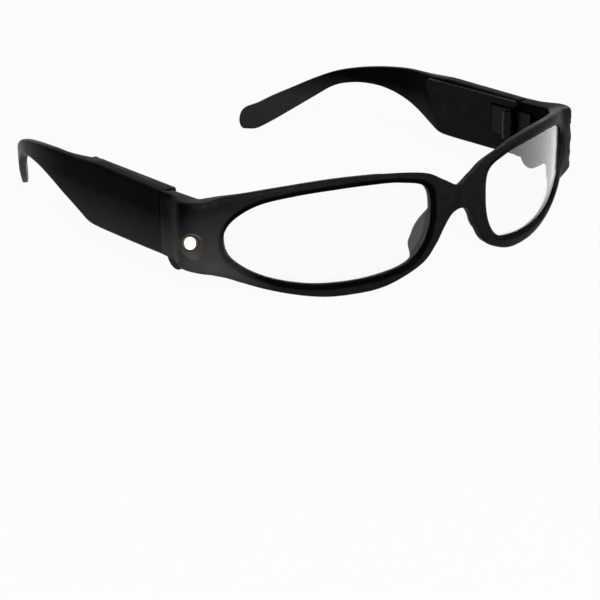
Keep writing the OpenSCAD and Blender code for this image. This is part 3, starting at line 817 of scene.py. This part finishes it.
def lens_material():
    """Clear plastic with a faint change of tint and gloss."""
    n = Nodes("clear_lens")
    colour = n.ramp(n.noise(40), low=(0.97, 0.985, 0.985), high=(0.99, 1.0, 1.0))
    return n.finish(Base_Color=colour, Roughness=n.ranged(n.noise(90), 0.0, 0.02),
                    IOR=1.46, Transmission_Weight=1.0)


def lamp_material():
    """Lit most in the middle of its dome, dimmer and warmer towards its edge."""
    n = Nodes("lamp_glow")
    folded = n.add("ShaderNodeCombineXYZ", X=n.math("ABSOLUTE", n.axis("X")),
                   Y=n.axis("Y"), Z=n.axis("Z"))
    dome_tip = Vector((0, 0, lamp_front + lamp_r))
    off = n.tree.nodes.new("ShaderNodeVectorMath")
    off.operation = "DISTANCE"
    n.put(off.inputs[0], folded.outputs["Vector"])
    n.put(off.inputs[1], to_world(lamp_matrix(1) @ dome_tip))
    away = n.ranged(off.outputs["Value"], 0, 1, start=0.0006, end=0.0018)
    return n.finish(Base_Color=(0.9, 0.9, 0.88, 1), Roughness=n.ranged(n.noise(500), 0.08, 0.14),
                    Emission_Color=n.ramp(away, low=(1, 0.97, 0.92), high=(0.12, 0.1, 0.075)),
                    Emission_Strength=12.0)


# The pale ends of the temple's and the front's ranges are painted light, lighter low on the pods
# and endpieces.
DARK, PALE, PAINTED_LIGHT_PALE = (0.0012, 0.0012, 0.00125), (0.026, 0.0256, 0.0254), (0.05, 0.0494, 0.049)
black = plastic("black_plastic", DARK, PAINTED_LIGHT_PALE, rough=0.27, grain=5200, spec=0.008,
                tone=front_tone)
# black_temple is the same plastic as black_plastic, kept apart only for its own painted light.
black_temple = plastic("black_temple", DARK, PALE, rough=0.27, grain=5200, spec=0.008,
                       tone=temple_tone)
black_cover = plastic("black_cover", (0.006, 0.006, 0.0061), (0.010, 0.010, 0.0102),
                      rough=0.36, grain=4200, spec=0.02)
rubber = plastic("button_plastic", (0.014, 0.014, 0.0144), (0.02, 0.02, 0.0206),
                 rough=0.48, grain=3600, spec=0.04)
ring_black = plastic("lamp_ring", (0.03, 0.03, 0.031), (0.045, 0.045, 0.046),
                     rough=0.22, grain=5000, spec=0.4)
switch = plastic("switch_plastic", (0.03, 0.03, 0.034), (0.04, 0.04, 0.045),
                 rough=0.3, grain=4000, spec=0.5)
board = plastic("circuit_board", (0.02, 0.10, 0.05), (0.03, 0.14, 0.07),
                rough=0.4, grain=2500, spec=0.5)
steel = metal("hinge_steel", (0.007, 0.007, 0.0072), (0.014, 0.014, 0.0144), rough=0.3)
brass = metal("contact_brass", (0.62, 0.46, 0.20), (0.75, 0.58, 0.28), rough=0.28)
nickel = metal("cell_steel", (0.56, 0.57, 0.58), (0.68, 0.69, 0.70), rough=0.26)
clear = lens_material()
# painted shade: the lens's bevel dark and opaque, for the groove's shade
painted_shade_edge = plastic("lens_edge", (0.008, 0.008, 0.0082), (0.014, 0.014, 0.0143),
                 rough=0.5, grain=3000, spec=0.05)
glow = lamp_material()


def paint(obj, material):
    """Gives an object one material."""
    obj.data.materials.clear()
    obj.data.materials.append(material)


# For the CAD nodes: the weld's reach in metres, the bevel's steps and its least edge angle
WELD_REACH, BEVEL_STEPS, BEVEL_ANGLE = 1e-6, 3, 35


def dress(name, material, bevel=0.0):
    """Gives a CAD node of both sides its material, and its edges a bevel in mm."""
    for side, _ in SIDES:
        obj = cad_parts[f"{name}_{side}"]
        paint(obj, material)
        weld = obj.modifiers.new("weld", "WELD")
        weld.merge_threshold = WELD_REACH
        if bevel:
            m = obj.modifiers.new("bevel", "BEVEL")
            m.width = bevel * MM
            m.segments = BEVEL_STEPS
            m.limit_method = "ANGLE"
            m.angle_limit = math.radians(BEVEL_ANGLE)


def stand_for(obj, material, slot, body, *nodes):
    """Puts a piece in place of CAD nodes; without a material it keeps its own."""
    if material:
        paint(obj, material)
    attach(obj, body)
    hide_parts(*nodes)


# ---------------------------------------------------------------- the object
stand_for(build_frame(), black, "black_plastic", "front", "front_frame")
for side, sign in SIDES:
    lens = build_lens(f"clear_lens_{side}", sign)
    stand_for(lens, None, "clear_lens", "front", f"lens_{side}")
    bulb = build_lamp(f"lamp_bulb_{side}", sign)
    stand_for(bulb, glow, "lamp_lens", "front", f"lamp_{side}")
    bezel = build_bezel(f"lamp_bezel_{side}", sign)
    stand_for(bezel, ring_black, "lamp_ring", "front", f"lamp_ring_{side}")
    arm = build_temple(f"temple_body_{side}", sign)
    stand_for(arm, black_temple, "black_plastic", f"temple_{side}", f"temple_{side}")
dress("front_hinge_leaf", steel, 0.12)
dress("temple_hinge_leaf", steel, 0.12)
dress("hinge_screw", steel, 0.1)
dress("cover_screw", steel, 0.1)
dress("battery_cover", black_cover, 0.3)
dress("circuit_cover", black_cover, 0.15)
dress("switch_button", rubber, 0.3)
dress("switch_body", switch, 0.1)
dress("lamp_board", board)
dress("contact_pins", brass)
dress("positive_contact", brass)
dress("negative_contact", brass)
dress("outer_cell", nickel, 0.15)
dress("inner_cell", nickel, 0.15)

# ---------------------------------------------------------------- floor, light and camera
WHITE, GREY = (1, 1, 1, 1), (0.5, 0.5, 0.5, 1)
# Strength of the world where it is seen and where it lights, and the floor's seen share
WORLD_SEEN, WORLD_LIT, FLOOR_SEEN = 0.975, 0.2, 0.95
FLOOR_HALF = 4


def light_path(tree):
    """1 for camera, glossy and transmission rays, else 0."""
    rays = tree.nodes.new("ShaderNodeLightPath")
    last = rays.outputs["Is Camera Ray"]
    for name in ("Is Glossy Ray", "Is Transmission Ray"):
        m = tree.nodes.new("ShaderNodeMath")
        m.operation = "MAXIMUM"
        tree.links.new(last, m.inputs[0])
        tree.links.new(rays.outputs[name], m.inputs[1])
        last = m.outputs[0]
    return last


def shader(tree, kind, colour, strength=None):
    """A shader of one colour."""
    node = tree.nodes.new(kind)
    node.inputs["Color"].default_value = colour
    if strength is not None:
        node.inputs["Strength"].default_value = strength
    return node.outputs[0]


def mixed(tree, output, share, lit, seen):
    """Sends a mix of two shaders to the output, share saying how much of seen."""
    both = tree.nodes.new("ShaderNodeMixShader")
    tree.links.new(share, both.inputs["Fac"])
    tree.links.new(lit, both.inputs[1])
    tree.links.new(seen, both.inputs[2])
    tree.links.new(both.outputs[0], tree.nodes.new(output).inputs["Surface"])


def build_world():
    """White where it is seen, and much dimmer as a light."""
    world = bpy.data.worlds.new("studio")
    scene.world = world
    world.use_nodes = True
    tree = world.node_tree
    tree.nodes.clear()
    seen = shader(tree, "ShaderNodeBackground", WHITE, WORLD_SEEN)
    lit = shader(tree, "ShaderNodeBackground", WHITE, WORLD_LIT)
    mixed(tree, "ShaderNodeOutputWorld", light_path(tree), lit, seen)


def build_floor():
    """Nearly white where it is seen, but for the shadow, and grey as a light."""
    h = FLOOR_HALF
    mesh = bpy.data.meshes.new("floor")
    mesh.from_pydata([(-h, -h, 0), (h, -h, 0), (h, h, 0), (-h, h, 0)], [], [(0, 1, 2, 3)])
    floor = bpy.data.objects.new("floor", mesh)
    scene.collection.objects.link(floor)
    mat = bpy.data.materials.new("floor_white")
    mat.use_nodes = True
    tree = mat.node_tree
    tree.nodes.clear()
    seen = shader(tree, "ShaderNodeEmission", WHITE)
    lit = shader(tree, "ShaderNodeBsdfDiffuse", GREY)
    share = tree.nodes.new("ShaderNodeMath")
    share.operation = "MULTIPLY"
    share.inputs[1].default_value = FLOOR_SEEN
    tree.links.new(light_path(tree), share.inputs[0])
    mixed(tree, "ShaderNodeOutputMaterial", share.outputs[0], lit, seen)
    mesh.materials.append(mat)


def area(name, at, size, power, to=(0, 0, 0.02)):
    """An area light that looks at the part."""
    data = bpy.data.lights.new(name, "AREA")
    data.size = size
    data.energy = power
    obj = bpy.data.objects.new(name, data)
    scene.collection.objects.link(obj)
    obj.location = at
    obj.rotation_mode = "QUATERNION"
    obj.rotation_quaternion = (Vector(to) - Vector(at)).to_track_quat("-Z", "Y")


# The camera's azimuth, elevation and roll in degrees, its place, and its focal length in mm
CAMERA_ANGLES = (-38.848, 21.4, -1.038)
CAMERA_AT = (-0.33188, -0.42034, 0.17778)
FOCAL, SENSOR, CLIP = 106.98, 36, (0.01, 50)


def build_camera():
    """The photograph's camera."""
    a, e, r = (math.radians(v) for v in CAMERA_ANGLES)
    back = Vector((math.sin(a) * math.cos(e), -math.cos(a) * math.cos(e), math.sin(e)))
    side = Vector((math.cos(a), math.sin(a), 0))
    up = back.cross(side)
    right = math.cos(r) * side + math.sin(r) * up
    above = -math.sin(r) * side + math.cos(r) * up
    data = bpy.data.cameras.new("camera")
    data.sensor_width = SENSOR
    data.lens = FOCAL
    data.clip_start, data.clip_end = CLIP
    camera = bpy.data.objects.new("camera", data)
    scene.collection.objects.link(camera)
    turned_to = Matrix((right, above, back)).transposed().to_4x4()
    camera.matrix_world = Matrix.Translation(CAMERA_AT) @ turned_to
    scene.camera = camera


build_world()
build_floor()
area("key", at=(-0.5, -0.85, 0.65), size=0.3, power=11)
area("rim", at=(0.7, 0.6, 0.9), size=0.4, power=1.6)
build_camera()
scene.view_settings.view_transform = "Standard"

bpy.context.view_layer.update()
